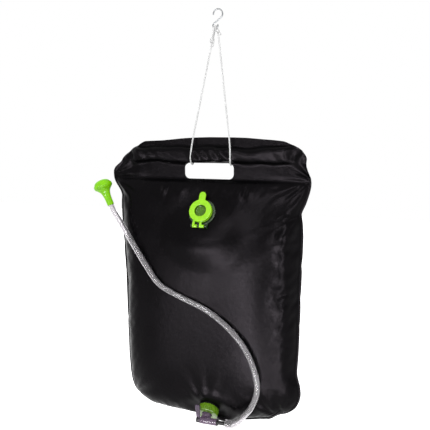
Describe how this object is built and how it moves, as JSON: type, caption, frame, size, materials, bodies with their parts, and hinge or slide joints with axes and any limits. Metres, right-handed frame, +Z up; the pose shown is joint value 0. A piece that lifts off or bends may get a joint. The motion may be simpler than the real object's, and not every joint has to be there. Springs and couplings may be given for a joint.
{
  "type": "camp shower bag",
  "caption": "Filled black film water bag hung from a hook by a cord, with a capped filler, a tap with a clear hose and a mushroom-shaped spray head.",
  "frame": {"origin": "top of the inside of the hook's open bend, where the hook hangs", "axes": "+Z up, -Y towards the side with the filler and the tap, +X to the right as seen from the front"},
  "size_m": [0.4243, 0.1131, 0.7911],
  "materials": {
    "steel": "bright plated wire",
    "cord": "braided white cord",
    "film": "soft sheen",
    "lime": "smooth, slightly clear",
    "dark_green": "smooth, slightly clear",
    "smoky": "smoky and clear",
    "black": "satin",
    "rubber": "matte",
    "clear": "clear and flexible",
    "white": "satin"
  },
  "bodies": {
    "hook": {"s_hook": "steel"},
    "bag": {"hook_bight": "cord", "hook_hitch": "cord", "suspension_cord": "cord", "front_panel": "film", "back_panel": "film", "grip_tube": "white", "left_grip_plug": "white", "right_grip_plug": "white", "filler_neck": "dark_green", "tether_ring": "dark_green", "outlet_port": "black", "port_gasket": "rubber", "tap_body": "smoky", "hose_barb": "black", "hose": "clear", "head_body": "lime", "rose_seal": "rubber", "head_rose": "lime"},
    "cap": {"filler_cap": "lime"},
    "collar": {"screw_collar": "lime"},
    "lever": {"tap_lever": "smoky", "left_o_ring": "rubber", "right_o_ring": "rubber"}
  },
  "joints": [
    {"name": "bag_swing", "type": "hinge", "parent": "hook", "child": "bag", "pos_m": [-0.0049, 0, -0.03308], "axis": [1, 0, 0], "range_deg": [-35, 35]},
    {"name": "cap_hinge", "type": "hinge", "parent": "bag", "child": "cap", "pos_m": [-0.022, -0.04352, -0.39766], "axis": [1, 0, 0], "range_deg": [0, 150]},
    {"name": "collar_turn", "type": "hinge", "parent": "bag", "child": "collar", "pos_m": [-0.012, -0.01477, -0.76174], "axis": [0, -0.8191, -0.5736], "range_deg": [0, 360]},
    {"name": "lever_turn", "type": "hinge", "parent": "bag", "child": "lever", "pos_m": [-0.012, -0.04, -0.77941], "axis": [1, 0, 0], "range_deg": [0, 90]}
  ]
}
